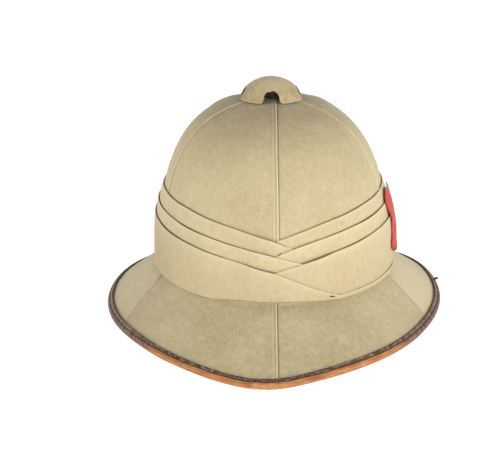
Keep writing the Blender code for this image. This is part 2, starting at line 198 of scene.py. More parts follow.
def brim_lines(azimuth):
    """The joint, the way down the brim, its normal and its length, for each azimuth."""
    joint = crown_point(azimuth, np.zeros_like(azimuth))
    across = edge_point(azimuth) - joint
    plan = np.hypot(across[..., 0], across[..., 1])
    away = np.linalg.norm(across, axis=-1)
    slope = np.arctan2(-across[..., 2], plan) - np.arcsin(edge_stack / 2 / away)
    outward = across[..., :2] / plan[..., None]
    down = np.concatenate([outward * np.cos(slope)[..., None], -np.sin(slope)[..., None]], axis=-1)
    normal = np.concatenate([outward * np.sin(slope)[..., None], np.cos(slope)[..., None]], axis=-1)
    return joint, down, normal, np.sqrt(away**2 - (edge_stack / 2) ** 2)


def lengths_along(points):
    steps = np.linalg.norm(np.diff(points, axis=0), axis=-1)
    return np.concatenate([np.zeros((1, points.shape[1])), np.cumsum(steps, axis=0)])


def cover_grid(line_azimuth, rows):
    """Points of the outer cloth, evenly spaced down each line from the vent to the bound edge. line_azimuth
    gives the lines' azimuths at a share from 0, the vent, over 1, the joint, to 2, the edge."""
    crown_shares = np.linspace(0.0, 1.0, crown_steps)
    brim_shares = np.linspace(0.0, 1.0, brim_steps)[1:]
    azimuth = np.array([line_azimuth(share) for share in crown_shares])
    reach = vent_radius / np.hypot(crown_half_width * np.sin(azimuth), crown_half_length * np.cos(azimuth))
    angle = np.arccos(reach ** (crown_fullness / 2)) * (1 - crown_shares[:, None]) ** vent_crowding
    crown = crown_point(azimuth, angle)
    azimuth = np.array([line_azimuth(1.0 + share) for share in brim_shares])
    joint, down, _, length = brim_lines(azimuth)
    brim = joint + down * ((length + tuck) * brim_shares[:, None])[..., None]
    path = np.concatenate([crown, brim])
    run = lengths_along(path)
    turn = run[len(crown) - 1]
    # The cloth is drawn over the joint in a soft round
    bend = []
    for at in (turn - joint_round, turn, turn + joint_round):
        bend.append(np.array([[np.interp(at[j], run[:, j], path[:, j, k]) for k in range(3)]
                              for j in range(path.shape[1])]))
    s = np.clip((run - (turn - joint_round)) / (2 * joint_round), 0.0, 1.0)[..., None]
    rounded = bend[0] * (1 - s) ** 2 + 2 * bend[1] * s * (1 - s) + bend[2] * s * s
    path = np.where((s > 0) & (s < 1), rounded, path)
    run = lengths_along(path)
    even = np.linspace(0.0, 1.0, rows)
    grid = np.empty((rows, path.shape[1], 3))
    for j in range(path.shape[1]):
        for k in range(3):
            grid[:, j, k] = np.interp(even * run[-1, j], run[:, j], path[:, j, k])
    return grid, run[-1]


def grid_normals(grid, ring=False):
    """Outward normals of a grid whose rows run down and whose columns run towards the wearer's left."""
    down = np.gradient(grid, axis=0)
    if ring:
        across = np.roll(grid, -1, axis=1) - np.roll(grid, 1, axis=1)
    else:
        across = np.gradient(grid, axis=1)
    normal = np.cross(down, across)
    return normal / np.maximum(np.linalg.norm(normal, axis=-1, keepdims=True), 1e-12)


def keep_marks(mesh, marks):
    for mark, values in marks.items():
        kept = mesh.attributes.new(mark, "FLOAT", "POINT")
        kept.data.foreach_set("value", np.ascontiguousarray(values, dtype=np.float32).reshape(-1))


def swept_piece(name, loops, finish, ring=False, uv=None, marks=None):
    """A closed body from sections: loops[i, j] is point i of the closed section at column j. Column ends
    are capped unless the body is a ring. uv is in metres; marks are named shares kept at each point."""
    count, columns = loops.shape[:2]
    spans = columns if ring else columns - 1
    i = np.repeat(np.arange(count), spans)
    j = np.tile(np.arange(spans), count)
    i2, j2 = (i + 1) % count, j + 1
    corner_rows = np.stack([i, i2, i2, i], axis=1)
    corner_columns = np.stack([j, j, j2, j2], axis=1)
    faces = corner_rows * columns + corner_columns % columns
    if not ring:
        half = count // 2 - 1
        k = np.arange(half)
        for end, turned in ((0, False), (columns - 1, True)):
            cap = np.stack([k, count - 1 - k, count - 2 - k, k + 1], axis=1)
            cap = cap[:, ::-1] if turned else cap
            corner_rows = np.concatenate([corner_rows, cap])
            corner_columns = np.concatenate([corner_columns, np.full_like(cap, end)])
            faces = np.concatenate([faces, cap * columns + end])
    mesh = bpy.data.meshes.new(name)
    mesh.from_pydata(loops.reshape(-1, 3).tolist(), [], faces.tolist())
    if uv is not None:
        rows_uv, columns_uv = uv
        layer = mesh.uv_layers.new(name="cloth")
        flat = np.stack([columns_uv[corner_rows, corner_columns],
                         rows_uv[corner_rows, corner_columns]], axis=-1)
        layer.data.foreach_set("uv", flat.reshape(-1).astype(np.float32))
    keep_marks(mesh, marks or {})
    mesh.shade_smooth()
    mesh.materials.append(finish)
    piece = bpy.data.objects.new(name, mesh)
    put_in_scene(piece)
    return piece


def wall_loops(outer, inner):
    """Sections of a wall: down its outer face, then back up its inner face."""
    return np.concatenate([outer, inner[::-1]])


def step(tree, kind, inputs, output=0, **settings):
    """Add one shader node; inputs are numbers, colours or the outputs of other nodes."""
    made = tree.nodes.new("ShaderNode" + kind)
    for key, value in settings.items():
        setattr(made, key, value)
    for socket, value in inputs.items():
        if isinstance(value, bpy.types.NodeSocket):
            tree.links.new(value, made.inputs[socket])
        else:
            made.inputs[socket].default_value = value
    return made.outputs[output]


def maths(tree, operation, a, b=0.0, c=0.0):
    return step(tree, "Math", {0: a, 1: b, 2: c}, operation=operation)


def tinted(tree, share, below, above, mode="MIX"):
    return step(tree, "MixRGB", {"Fac": share, "Color1": below, "Color2": above}, blend_type=mode)


def place_in(tree):
    return step(tree, "TexCoord", {}, output=3)


def noise(tree, place, scale, detail, roughness=0.5):
    return step(tree, "TexNoise",
                {"Vector": place, "Scale": scale, "Detail": detail, "Roughness": roughness})


def join_shader(tree, shader, **sockets):
    for socket, output in sockets.items():
        tree.links.new(output, shader.inputs[socket.replace("_", " ")])


pith_finish, tree, shader = new_finish("pressed_pith", 0.9)
place = place_in(tree)
fibres = noise(tree, place, 900.0, 4.0, 0.7)
clouds = noise(tree, place, 30.0, 3.0)
colour = tinted(tree, fibres, (0.46, 0.37, 0.23, 1.0), (0.66, 0.56, 0.38, 1.0))
colour = tinted(tree, clouds, colour, tinted(tree, 0.35, colour, (0.40, 0.30, 0.18, 1.0)))
relief = step(tree, "Bump", {"Strength": 0.5, "Distance": 0.0004, "Height": fibres})
join_shader(tree, shader, Base_Color=colour, Normal=relief)

body_columns = 240
body_rows = 90
turns = np.radians(np.arange(body_columns) * 360.0 / body_columns)
surface, _ = cover_grid(lambda share: turns, body_rows)
normals = grid_normals(surface, ring=True)
thin_from = 0.71
thin_to = 0.97
thinning = ease(np.linspace(0.0, 1.0, body_rows), thin_from, thin_to)
wall = pith_at_crown + (pith_at_edge - pith_at_crown) * thinning
outside = surface - normals * (cloth + glue_gap)
inside = surface - normals * (cloth + glue_gap + wall)[:, None, None]
body = swept_piece("pith_body", wall_loops(outside, inside), pith_finish, ring=True)
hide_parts("shell")
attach(body, "root")

# Drill cover: six gores of khaki cotton drill, cut narrow at the vent and drawn over crown and brim with
# paste. Each gore laps its neighbour in a felled seam, which stands up as a flat strip with a round edge.
seam_rise = 0.0007
seam_fade = 0.002
strip_gap = 0.0005
stitch_in = 0.0020
# Columns: azimuth in degrees at the vent, the joint and the edge
seam_rows = ((0.0, 0.0, 0.0), (64.0, 70.0, 64.0), (122.0, 120.0, 122.0), (180.0, 180.0, 180.0),
             (238.0, 240.0, 238.0), (296.0, 290.0, 296.0), (360.0, 360.0, 360.0))
gore_names = ("front_right", "right", "back_right", "back_left", "left", "front_left")
# How much painted light brightens the brim of each gore
painted_brim_light = dict.fromkeys(gore_names, 0.0) | {"right": 0.48, "left": 0.26}
gore_columns = 26
gore_rows = 170
# Columns: distance in from the seam's end, height over the cloth as a share of the seam's rise, both for
# the round edge, the hollow that the stitches draw in and the soft far edge of the folded strip
seam_profile = ((0.00010, -0.5), (0.00014, 0.3), (0.00028, 1.0), (0.00050, 1.4), (0.0008, 1.42),
                (0.0011, 1.1), (0.0014, 0.75), (0.0017, 0.55), (0.0020, 0.45), (0.0023, 0.55),
                (0.0027, 0.68), (0.0032, 0.72), (0.0037, 0.6), (0.0042, 0.35), (0.0047, 0.12),
                (0.0054, 0.0))
thread_pitch = 0.00062
stitch_pitch = 0.0024
# How crisp each seam still is on the crown and on the brim; the side seams are worn flat
seam_crispness = ((1.0, 1.0), (0.8, 0.15), (0.6, 0.4), (0.8, 0.8), (0.6, 0.4), (0.55, 0.15), (1.0, 1.0))
joint_rows = (0.66, 0.74)
down_share = np.linspace(0.0, 1.0, gore_rows)[:, None]
on_brim = ease(down_share, *joint_rows)
# The front seam runs off a little to the wearer's left. Columns: share from the vent, 0, over the joint, 1,
# to the edge, 2; degrees
front_drift = ((0.0, 13.0), (0.1, 5.0), (0.35, 2.1), (0.75, 1.45), (1.0, 0.4), (2.0, 0.2))
# The two seams beside it bow back a little on the crown, in the same columns
side_drift = ((0.0, 0.0), (0.4, 4.5), (0.75, 4.0), (1.0, 0.0), (2.0, 0.0))


def seam_turn(seam, share):
    turn = np.interp(share, (0.0, 1.0, 2.0), seam_rows[seam])
    if seam in (0, 6):
        turn += smooth_rows(front_drift, share)
    elif seam in (1, 5):
        turn += (3 - seam) / 2 * smooth_rows(side_drift, share)
    return math.radians(turn)


def both_faces(values):
    return wall_loops(values, values)


def turn_speed(azimuth):
    """How far a point of the joint's outline moves for each radian."""
    return math.hypot(crown_half_width * math.cos(azimuth), crown_half_length * math.sin(azimuth))


# A small turn in radians, to measure slopes over
nudge = 0.001


def row_speed(azimuth, share):
    pair = np.array([azimuth - nudge, azimuth + nudge])
    if share <= 1.0:
        reach = vent_radius / np.hypot(crown_half_width * np.sin(pair), crown_half_length * np.cos(pair))
        angle = np.arccos(reach ** (crown_fullness / 2)) * (1 - share) ** vent_crowding
        ends = crown_point(pair, angle)
    else:
        joint, down, _, length = brim_lines(pair)
        ends = joint + down * (length * (share - 1.0))[:, None]
    return float(np.linalg.norm(ends[1] - ends[0])) / (2 * nudge)


def ramp(tree, value, start, end, low=0.0, high=1.0):
    """Map the values from start to end onto those from low to high."""
    return step(tree, "MapRange", {"Value": value, 1: start, 2: end, 3: low, 4: high})


def mark_of(tree, name):
    """The share that is kept at each point under this name."""
    return step(tree, "Attribute", {}, output=2, attribute_name=name)


def stretched_noise(tree, flat, across, along, detail, roughness):
    """Noise drawn out along one way of the cloth; across and along count its blots in a metre."""
    scaled = step(tree, "VectorMath", {0: flat, 1: (across, along, 1.0)}, operation="MULTIPLY")
    return noise(tree, scaled, 1.0, detail, roughness)


def woven_finish(name, colour, worn_and_lit, dirt_and_shade, mottle=1.0, wrinkle=0.0012):
    """Plain-woven cotton: threads both ways, slubs along the warp, cloudy with age, paler where its pale
    mark is set, partly rubbed wear and partly painted light and painted highlights, darker where its dark
    mark is set, mostly painted shade in creases, at seams and under edges and partly dirt, and with needle
    holes where the pricked mark is set."""
    finish, tree, shader = new_finish(name, 0.85, Sheen_Weight=0.15, Sheen_Roughness=0.5,
                                      Specular_IOR_Level=0.2)
    flat = step(tree, "UVMap", {}, uv_map="cloth")
    place = place_in(tree)
    cut = tree.nodes.new("ShaderNodeSeparateXYZ")
    tree.links.new(flat, cut.inputs[0])
    weft_wave = maths(tree, "SINE", maths(tree, "MULTIPLY", cut.outputs["X"], math.pi / thread_pitch))
    warp_wave = maths(tree, "SINE", maths(tree, "MULTIPLY", cut.outputs["Y"], math.pi / thread_pitch))
    over = maths(tree, "MULTIPLY_ADD", maths(tree, "MULTIPLY", weft_wave, warp_wave), 0.5, 0.5)
    slubs = stretched_noise(tree, flat, 800.0, 120.0, 3.0, 0.6)
    picks = stretched_noise(tree, flat, 150.0, 750.0, 2.0, 0.5)
    clouds = noise(tree, place, 210.0, 4.0, 0.65)
    stain = noise(tree, place, 28.0, 5.0, 0.6)
    spread = 0.0
    for layer, weight in ((slubs, 0.75), (picks, 0.35), (clouds, 0.8), (stain, 0.8)):
        spread = maths(tree, "MULTIPLY_ADD", maths(tree, "SUBTRACT", layer, 0.5), weight, spread)
    uneven = mark_of(tree, "uneven")
    share = maths(tree, "MULTIPLY_ADD", spread, maths(tree, "ADD", uneven, mottle), 0.5)
    deep = tuple(c * f for c, f in zip(colour, (0.55, 0.51, 0.45))) + (1.0,)
    pale = tuple(c * f for c, f in zip(colour, (1.45, 1.49, 1.55))) + (1.0,)
    shade = tinted(tree, share, deep, pale)
    specks = noise(tree, place, 620.0, 1.0)
    shade = tinted(tree, ramp(tree, specks, 0.70, 0.76, high=0.45), shade, deep)
    shade = tinted(tree, ramp(tree, specks, 0.30, 0.25, high=0.3), shade, pale)
    shade = tinted(tree, ramp(tree, over, 0.0, 1.0, 0.10, 0.0), shade, deep)
    # Pale mark: partly rubbed wear, partly painted light on the brim and painted highlights on seam ridges,
    # fold edges and the cap's lip
    rubbed = mark_of(tree, "worn_and_lit")
    shade = tinted(tree, rubbed, shade, worn_and_lit + (1.0,))
    # Dark mark: mostly painted shade in creases, beside seams, under fold edges and inside the cap, partly
    # dirt
    shaded_share = mark_of(tree, "dirt_and_shade")
    shade = tinted(tree, shaded_share, shade, dirt_and_shade + (1.0,))
    pricked = mark_of(tree, "pricked")
    beat = maths(tree, "SINE", maths(tree, "MULTIPLY", cut.outputs["Y"], 2 * math.pi / stitch_pitch))
    holes = maths(tree, "MULTIPLY", pricked, ramp(tree, beat, 0.2, 0.8))
    shade = tinted(tree, holes, shade, tuple(c * 0.35 for c in colour) + (1.0,))
    creases = noise(tree, place, 85.0, 3.0, 0.55)
    drawn = step(tree, "Bump", {"Strength": 0.7, "Distance": wrinkle, "Height": creases})
    height = maths(tree, "MULTIPLY_ADD", slubs, 0.8, over)
    relief = step(tree, "Bump", {"Strength": 0.35, "Distance": 0.00012, "Height": height, "Normal": drawn})
    join_shader(tree, shader, Base_Color=shade, Normal=relief)
    return finish


drill_finish = woven_finish("khaki_drill", (0.585, 0.482, 0.280), (0.86, 0.75, 0.49), (0.21, 0.14, 0.065),
                            mottle=0.45)

seam_ends = []
insets, heights = np.array(seam_profile)[::-1].T
heights = heights * seam_rise
starts = np.array((0.00010, 0.00020, 0.0005, 0.0009, 0.0014, 0.0022))
for sector, gore in enumerate(gore_names):

    def gore_lines(share):
        first, last = seam_turn(sector, share), seam_turn(sector + 1, share)
        first_speed, last_speed = row_speed(first, share), row_speed(last, share)
        left = first + starts / first_speed
        right = last - insets / last_speed
        between = np.linspace(left[-1], right[0], gore_columns + 2)[1:-1]
        return np.concatenate([left, between, right])

    surface, lengths = cover_grid(gore_lines, gore_rows)
    normals = grid_normals(surface)
    run = down_share * lengths
    clear = lengths - tuck - flange - strip_gap
    fade_out = 1.0 - ease(run, clear - seam_fade, clear)
    columns = len(starts) + gore_columns + len(insets)
    strip = np.s_[:, -len(insets):]
    crisp_start, crisp_end = (seam_crispness[k][0] + (seam_crispness[k][1] - seam_crispness[k][0]) * on_brim
                              for k in (sector, sector + 1))
    puckers = 1.0 + 0.14 * np.sin(run * 330.0 + sector) + 0.10 * np.sin(run * 130.0 + 2.0 * sector)
    rise = np.zeros((gore_rows, columns))
    rise[strip] = heights * puckers[strip] * (0.45 + 0.55 * crisp_end)
    rise[:, :3] = (-0.0003, -0.00022, -0.0001)
    drift = 0.00012 * np.sin(run * 95.0 + 2.0 * sector) * np.sin(np.linspace(0, 9, columns) + sector)
    rise = rise * fade_out + drift * fade_out
    outer = surface + normals * rise[..., None]
    inner = surface - normals * cloth
    # The brim is painted lighter away from the front, most on the side gores and most on the wearer's left:
    # painted light for light from the sides. All cloth is blotched on the brim and by the vent
    turned = np.degrees(np.abs(np.arctan2(surface[..., 0], axis_y - surface[..., 1])))
    beside = painted_brim_light[gore] * (1.0 - 0.85 * ease(turned, 82.0, 120.0))
    worn_and_lit = (0.2 * ease(turned, 15.0, 40.0) * (1.0 - ease(turned, 110.0, 150.0)) + beside) \
        * ease(down_share, 0.70, 0.86)
    uneven = 0.25 * on_brim + 0.4 * (1.0 - ease(down_share, 0.05, 0.30)) + np.zeros((gore_rows, columns))
    # Painted highlight along the seam's round edge and its soft far edge, partly rubbed wear
    worn_and_lit[strip] += crisp_end * np.interp(
        insets, (0.0, 0.0003, 0.0006, 0.0010, 0.0014, 0.0026, 0.0034, 0.0042),
        (0.3, 1.0, 1.0, 0.6, 0.1, 0.1, 0.3, 0.0))
    worn_and_lit = np.minimum(worn_and_lit, 1.0)
    # Darker towards the vent
    dirt_and_shade = 0.22 * (1.0 - ease(down_share, 0.04, 0.36)) * (1.0 - worn_and_lit)
    # Painted shadow from the neighbouring seam's folded edge over the start of each gore, and broad painted
    # shade beside the worn side seams on the brim
    dirt_and_shade[:, :len(starts)] += crisp_start * np.array((0.85, 0.55, 0.25, 0.08, 0.0, 0.0)) \
        + (1 - crisp_start) * on_brim * np.array((0.4, 0.33, 0.24, 0.16, 0.09, 0.0))
    # Painted shade under the folded edge of the strip
    dirt_and_shade[strip] += crisp_end * np.interp(
        insets, (0.0001, 0.00016, 0.0003, 0.0045, 0.0048, 0.0052), (0.8, 0.3, 0.0, 0.0, 0.1, 0.0))
    dirt_and_shade = np.minimum(dirt_and_shade, 1.0)
    pricked = np.zeros((gore_rows, columns))
    pricked[strip] = crisp_end * np.interp(insets, (0.0013, 0.0017, 0.0023, 0.0028), (0.0, 0.5, 0.5, 0.0))
    across = lengths_along(surface.swapaxes(0, 1)).T
    across = across - across[:, columns // 2][:, None]
    panel = swept_piece("drill_gore_" + gore, wall_loops(outer, inner), drill_finish,
                        uv=(both_faces(run), both_faces(across)),
                        marks={"worn_and_lit": both_faces(worn_and_lit * fade_out), "dirt_and_shade": both_faces(dirt_and_shade * fade_out),
                               "pricked": both_faces(pricked * fade_out), "uneven": both_faces(uneven)})
    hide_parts("cover_panel_" + gore)
    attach(panel, "root")
    near_stitch = int(np.argmin(np.abs(insets - stitch_in))) + columns - len(insets)
    seam_ends.append((outer[:, near_stitch], normals[:, near_stitch], clear[near_stitch],
                      run[:, near_stitch]))

# Seam stitching: one row of short stitches in khaki cotton thread down each felled seam, from near the
# vent to the binding. Each stitch is sunk a little into the strip at both ends.
stitch_length = 0.0015
stitch_radius = 0.00022
stitch_sides = 6
stitch_sink = 0.00015
first_stitch = 0.004
thread_finish, tree, shader = new_finish("cotton_thread", 0.7)
place = place_in(tree)
twist = noise(tree, place, 2600.0, 1.0)
colour = tinted(tree, twist, (0.42, 0.33, 0.19, 1.0), (0.70, 0.60, 0.40, 1.0))
join_shader(tree, shader, Base_Color=colour)


def stitch_row(name, path, normals, start, end, run, finish, pitch, length, radius, sink):
    """Short round stitches along a path, each dipping into the cloth at both ends."""
    points, faces = [], []
    bands = 6
    for at in np.arange(start, end, pitch):
        along = at + length * np.linspace(0.0, 1.0, bands)
        spine = np.stack([np.interp(along, run, path[:, k]) for k in range(3)], axis=-1)
        up = np.stack([np.interp(along, run, normals[:, k]) for k in range(3)], axis=-1)
        bow = np.sin(np.linspace(0.0, math.pi, bands))
        spine = spine + up * (bow[:, None] * (radius * 0.9 + sink) - sink)
        way = np.gradient(spine, axis=0)
        way /= np.linalg.norm(way, axis=1, keepdims=True)
        side = np.cross(way, up)
        side /= np.linalg.norm(side, axis=1, keepdims=True)
        up = np.cross(side, way)
        first = len(points)
        thick = radius * (0.55 + 0.45 * bow)
        for k in range(bands):
            for turn in np.arange(stitch_sides) * 2 * math.pi / stitch_sides:
                points.append(spine[k] + (side[k] * math.cos(turn) + up[k] * math.sin(turn)) * thick[k])
        for k in range(bands - 1):
            for m in range(stitch_sides):
                n = (m + 1) % stitch_sides
                a, b = first + k * stitch_sides, first + (k + 1) * stitch_sides
                faces.append((a + m, a + n, b + n, b + m))
        faces.append(tuple(first + m for m in range(stitch_sides))[::-1])
        faces.append(tuple(first + (bands - 1) * stitch_sides + m for m in range(stitch_sides)))
    mesh = bpy.data.meshes.new(name)
    mesh.from_pydata([tuple(p) for p in points], [], faces)
    mesh.shade_smooth()
    mesh.materials.append(finish)
    piece = bpy.data.objects.new(name, mesh)
    put_in_scene(piece)
    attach(piece, "root")
    return piece


for gore, (path, normals, clear, run) in zip(gore_names, seam_ends):
    row = stitch_row("seam_stitches_" + gore, path, normals, first_stitch, clear - seam_fade, run,
                     thread_finish, stitch_pitch, stitch_length, stitch_radius, stitch_sink)

# Folded band: a long scarf of light khaki cotton wound round the crown's foot in laid folds, three to a
# side, whose folded edges look up. The two sides cross over each other at the front and meet at the back.
band_clearance = 0.001
fold_cloth = 0.001
fold_pitch = 0.0013
fold_tuck = 0.007
band_bottom_height = -0.0008
band_front_rise = 0.0048
band_front_spread = 30.0
tail_height = 0.003
# Columns: top edge at the side, its drop to the front crossing, the spread of that drop, its fall past the
# front in metres a degree, and its levels at the side and at the crossing
fold_table = {
    "left_top": (0.0633, 0.0163, 30.0, 0.00070, 0, 1),
    "left_middle": (0.0520, 0.0156, 38.0, 0.00045, 1, 3),
    "left_bottom": (0.0421, 0.0168, 42.0, 0.00078, 2, 5),
    "right_top": (0.0657, 0.0182, 31.0, 0.00070, 0, 0),
    "right_middle": (0.0535, 0.0165, 24.0, 0.00070, 1, 2),
    "right_bottom": (0.0415, 0.0162, 26.0, 0.00070, 2, 4),
}
left_ends = {"left_top": 12.0, "left_middle": 18.0, "left_bottom": 78.0}
right_start = -6.0
level_turn = 12.0
right_turns = {"right_top": 12.0, "right_middle": 12.0, "right_bottom": 18.0}
tail_level = 3
fold_step = 1.5
pull_in = 0.0007
pull_in_reach = 0.007
# A thin strip of painted shade stands this far over the edge of each top fold, on its inner side
shade_lip = 0.0007
# Over the next fold's edge the unshaded part ends this far up, and the painted shade of the crease begins
crease_shade_reach = 0.0016
# How many lines make up a fold's face and its back
body_steps = 9
inner_steps = 7


def band_foot(degrees):
    return band_bottom_height + band_front_rise * np.maximum(1 - (degrees / band_front_spread) ** 2, 0.0)


def fold_top(name, degrees):
    side, drop, spread, fall, _, _ = fold_table[name]
    own_side = -degrees if name.startswith("left") else degrees
    beside = side - drop * np.exp(-np.maximum(own_side, 0.0) / spread)
    height = np.where(own_side > 0, beside, side - drop + fall * own_side)
    layer = name.split("_")[1]
    shared = (fold_table["left_" + layer][0] + fold_table["right_" + layer][0]) / 2
    height = height + (shared - side) * ease(own_side, 110.0, 175.0)
    if name == "left_bottom":
        height = np.maximum(height, band_foot(degrees) + tail_height)
    return height


def fold_level(name, degrees):
    side, crossing = fold_table[name][4:]
    if name.startswith("right"):
        turn = right_turns[name]
        return crossing + (side - crossing) * ease(degrees, turn, turn + level_turn)
    level = side + (crossing - side) * ease(degrees, right_start - level_turn, right_start)
    if name == "left_bottom":
        turn = right_turns["right_bottom"]
        level = level + (tail_level - crossing) * ease(degrees, turn, turn + level_turn)
    return level


def over_crown(degrees, height, lift):
    azimuth = np.radians(degrees)
    base = joint_at(azimuth)
    share = np.clip(height / (crown_top - base), 0.0, 1.0)
    angle = np.arcsin(share ** (crown_fullness / 2))
    point = crown_point(azimuth, angle)
    point[..., 2] += np.minimum(height, 0.0)
    below = crown_point(azimuth, np.maximum(angle - nudge, 0.0))
    above = crown_point(azimuth, angle + nudge)
    across = crown_point(azimuth + nudge, angle) - crown_point(azimuth - nudge, angle)
    normal = np.cross(below - above, across)
    normal /= np.linalg.norm(normal, axis=-1, keepdims=True)
    return point + normal * np.asarray(lift)[..., None]


band_finish = woven_finish("band_cotton", (0.63, 0.517, 0.303), (0.84, 0.73, 0.48), (0.14, 0.08, 0.03),
                           mottle=0.42, wrinkle=0.0008)
chain = {"left_top": "left_middle", "left_middle": "left_bottom", "left_bottom": None,
         "right_top": "right_middle", "right_middle": "right_bottom", "right_bottom": None}
for order, (fold, below) in enumerate(chain.items()):
    seam_back = 180.0 - math.degrees(glue_gap / 2 / crown_half_width)
    if fold.startswith("right"):
        degrees = np.append(np.arange(right_start, 180.0, fold_step), seam_back)
    else:
        degrees = np.append(
            -seam_back, np.arange(fold_step - 180.0, left_ends[fold] + fold_step / 2, fold_step))
    wobble = 0.00025 * np.sin(np.radians(degrees) * 5.0 + 1.7 * order) \
        + 0.00015 * np.sin(np.radians(degrees) * 13.0 + 2.9 * order)
    top = fold_top(fold, degrees) + wobble
    foot = band_foot(degrees) if below is None else fold_top(below, degrees) - fold_tuck
    lift = band_clearance + fold_pitch * fold_level(fold, degrees)
    half = fold_cloth / 2
    middle = lift + half
    cover_line = foot if below is None else fold_top(below, degrees)
    # Each line carries a share of painted shade (in the crease over the next fold, under the foot, on the
    # back face and on the top fold's inner lip) and a share of painted highlight
    section, fold_shade, edge_highlight = [], [], []

    def put(height, out, shaded, highlight):
        """One line of the fold; the upper edge of a top fold is pulled in against the crown."""
        drawn_in = pull_in * ease(height, top - pull_in_reach, top) if fold.endswith("top") else 0.0
        section.append(over_crown(degrees, height, middle + out - drawn_in))
        fold_shade.append(np.full(len(degrees), shaded))
        edge_highlight.append(np.full(len(degrees), highlight))

    def put_round(middle_line, way, side, turns, shaded, highlight):
        """Lines of a rounded edge; way is up or down, side out or in, turns degrees round from level."""
        for a in np.radians(turns):
            put(middle_line + way * half * math.sin(a), side * half * math.cos(a), shaded, highlight)

    # Painted highlight along the folded top edge, fading a little way down the face
    put_round(top - half, 1, 1, (60.0, 30.0, 0.0), 0.0, 0.5)
    body_top = top - half
    body_end = (foot + half) if below is None else cover_line + crease_shade_reach
    for k in range(1, body_steps + 1):
        share = k / body_steps
        put(body_top + (body_end - body_top) * share, half, 0.0, 0.25 * (1 - share) ** 3)
    if below is not None:
        for above_line, shaded in ((0.0008, 0.06), (0.0005, 0.5), (0.0002, 1.0), (-0.001, 1.0)):
            put(cover_line + above_line, half, shaded, 0.0)
        put(foot + half, half, 1.0, 0.0)
    put_round(foot + half, -1, 1, (30.0, 60.0), 0.3, 0.0)
    put(foot, 0.0, 0.5, 0.0)
    put_round(foot + half, -1, -1, (60.0,), 1.0, 0.0)
    put(foot + half, -half, 1.0, 0.0)
    for k in range(1, inner_steps + 1):
        put(foot + half + (body_top - foot - half) * k / inner_steps, -half, 1.0, 0.0)
    put_round(top - half, 1, -1, (30.0, 60.0), 0.3, 0.0)
    # A thin strip of painted shade stands up on the inner side of each top fold's edge and draws the dark
    # line against the crown
    if fold.endswith("top"):
        for above_edge, out in ((0.0002, -half), (shade_lip, -half), (shade_lip, 0.0003 - half),
                                (0.0002, 0.0004 - half)):
            put(top + above_edge, out, 1.0, 0.0)
    put(top, 0.0, 0.1, 0.4)
    if len(section) % 2:
        for kept in (section, fold_shade, edge_highlight):
            kept.insert(0, (kept[0] + kept[-1]) / 2)
    section = np.array(section)
    fold_shade = np.array(fold_shade)
    # Painted shade: the crease lines are weaker towards the front and on the tail of the lowest left fold,
    # and the two lowest folds are darkened all over, the left one most towards the wearer's right
    crease_shade_strength = 0.55 + 0.45 * ease(np.abs(degrees), 4.0, 55.0)
    fold_side_shade = 0.0
    if fold == "left_bottom":
        fold_side_shade = 0.07 + 0.17 * ease(-degrees, 30.0, 75.0)
        crease_shade_strength = crease_shade_strength * (1.0 - 0.8 * ease(degrees, 0.0, 20.0))
    elif fold == "right_bottom":
        fold_side_shade = 0.09
    fold_shade = np.minimum(fold_shade * crease_shade_strength + fold_side_shade, 1.0)
    run = lengths_along(section)
    along = np.tile(lengths_along(section[0][:, None])[:, 0], (len(section), 1))
    piece = swept_piece("band_fold_" + fold, section, band_finish, uv=(run, along),
                        marks={"worn_and_lit": np.array(edge_highlight), "dirt_and_shade": fold_shade})
    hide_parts("puggaree_fold_" + fold)
    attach(piece, "root")

# Ventilator: a short zinc tube fixed in the crown's hole carries a tin dome covered in the same drill,
# open in an arch on four sides, with its lower edge rolled out; its inside is coloured near black as
# painted shade.
collar_wall = 0.0008
collar_clearance = 0.0008
collar_drop = 0.001
collar_bevel = 0.0003
collar_bevel_in = 0.0002
cap_radius = 0.0236
cap_rise = 0.0164
cap_fullness = 1.84
cap_shift = 0.001
cap_wall = 0.0012
cap_lip = 0.0015
cap_lip_height = 0.0015
cap_notches = 4
notch_width = 0.0128
notch_height = 0.0088
corner_round = 0.0024
# How many lines make up an arched opening and the cloth between two of them
notch_columns = 25
lobe_columns = 34
rim_flare = 0.0008

zinc_finish, tree, shader = new_finish("dull_zinc", 0.55, Metallic=0.7)
place = place_in(tree)
bloom = noise(tree, place, 300.0, 4.0)
colour = tinted(tree, bloom, (0.03, 0.026, 0.026, 1.0), (0.10, 0.095, 0.095, 1.0))
join_shader(tree, shader, Base_Color=colour)

tube_radius = vent_radius - collar_clearance
far_side = (tube_radius + cap_shift) / (cap_radius - cap_wall)
tube_seat = (cap_rise - cap_wall) * (1 - far_side**cap_fullness) ** (1 / cap_fullness)
tube_top = crown_top + tube_seat - glue_gap
tube_bottom = crown_top - cloth - glue_gap - pith_at_crown - collar_drop
tube_turns = np.radians(np.arange(0.0, 360.0, 6.0))
tube_section = []
for reach, height in (
        (tube_radius, tube_top - collar_bevel), (tube_radius, tube_bottom + collar_bevel),
        (tube_radius - collar_bevel_in, tube_bottom), (tube_radius - collar_wall, tube_bottom),
        (tube_radius - collar_wall, tube_top), (tube_radius - collar_bevel_in, tube_top)):
    tube_section.append(np.stack([reach * np.sin(tube_turns) - crown_lean,
                                  axis_y - reach * np.cos(tube_turns),
                                  np.full(len(tube_turns), height)], axis=-1))
tube = swept_piece("vent_tube", np.array(tube_section), zinc_finish, ring=True)
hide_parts("ventilator_collar")
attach(tube, "root")

